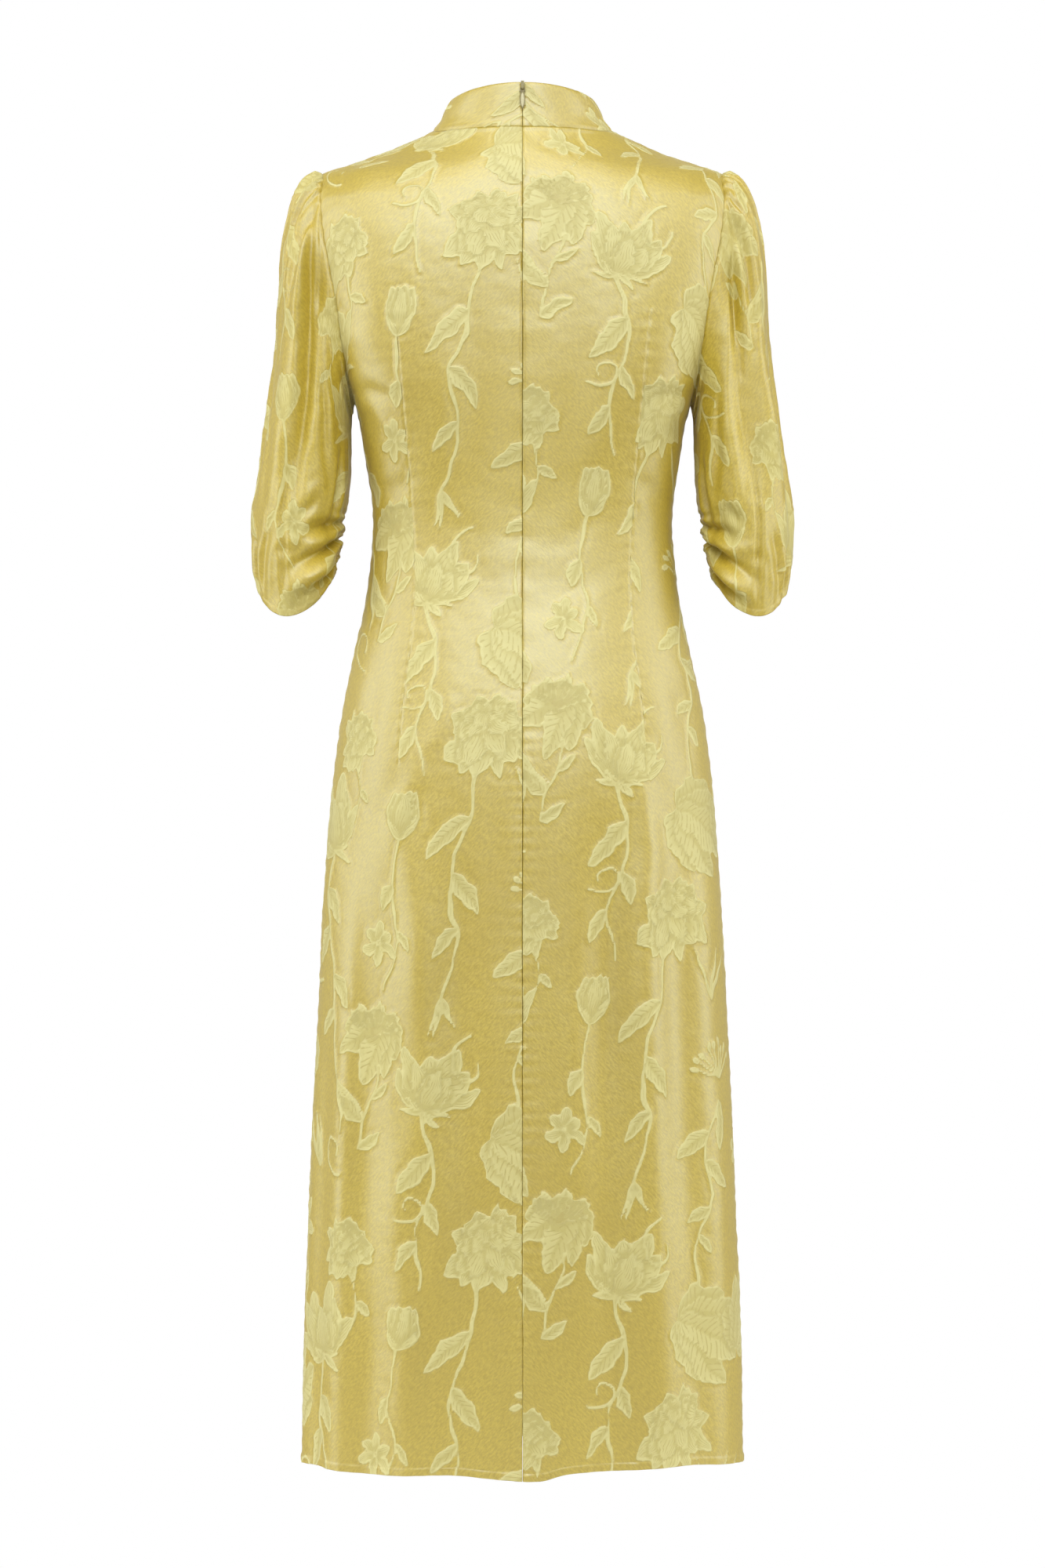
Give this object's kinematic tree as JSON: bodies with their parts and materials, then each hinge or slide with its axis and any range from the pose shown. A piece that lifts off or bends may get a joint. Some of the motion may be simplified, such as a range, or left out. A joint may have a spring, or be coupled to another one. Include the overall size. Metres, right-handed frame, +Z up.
{
  "type": "midi dress",
  "caption": "Hollow, worn-shape midi dress with a stand collar, gathered elbow sleeves, back darts and a centre back zip.",
  "frame": {"origin": "midway between the shoulders, at the middle height of the shoulder slope, on the shoulder line", "axes": "+Z up, the wearer faces -Y, the wearer's left is +X"},
  "size_m": [0.4924, 0.2407, 1.2381],
  "materials": {
    "satin": "glossy yellow-green satin with matte woven flowers",
    "zip_tape": "matte woven tape",
    "zip_metal": "pale satin enamel"
  },
  "bodies": {
    "garment": {"back_left": "satin", "back_right": "satin", "front": "satin", "collar": "satin", "sleeve_left": "satin", "sleeve_right": "satin", "zip_tape": "zip_tape", "zip_slider": "zip_metal"},
    "pull": {"zip_pull": "zip_metal"}
  },
  "joints": [
    {"name": "pull_hinge", "type": "hinge", "parent": "garment", "child": "pull", "pos_m": [0, 0.06303, 0.04382], "axis": [1, 0, 0], "range_deg": [0, 170]}
  ]
}
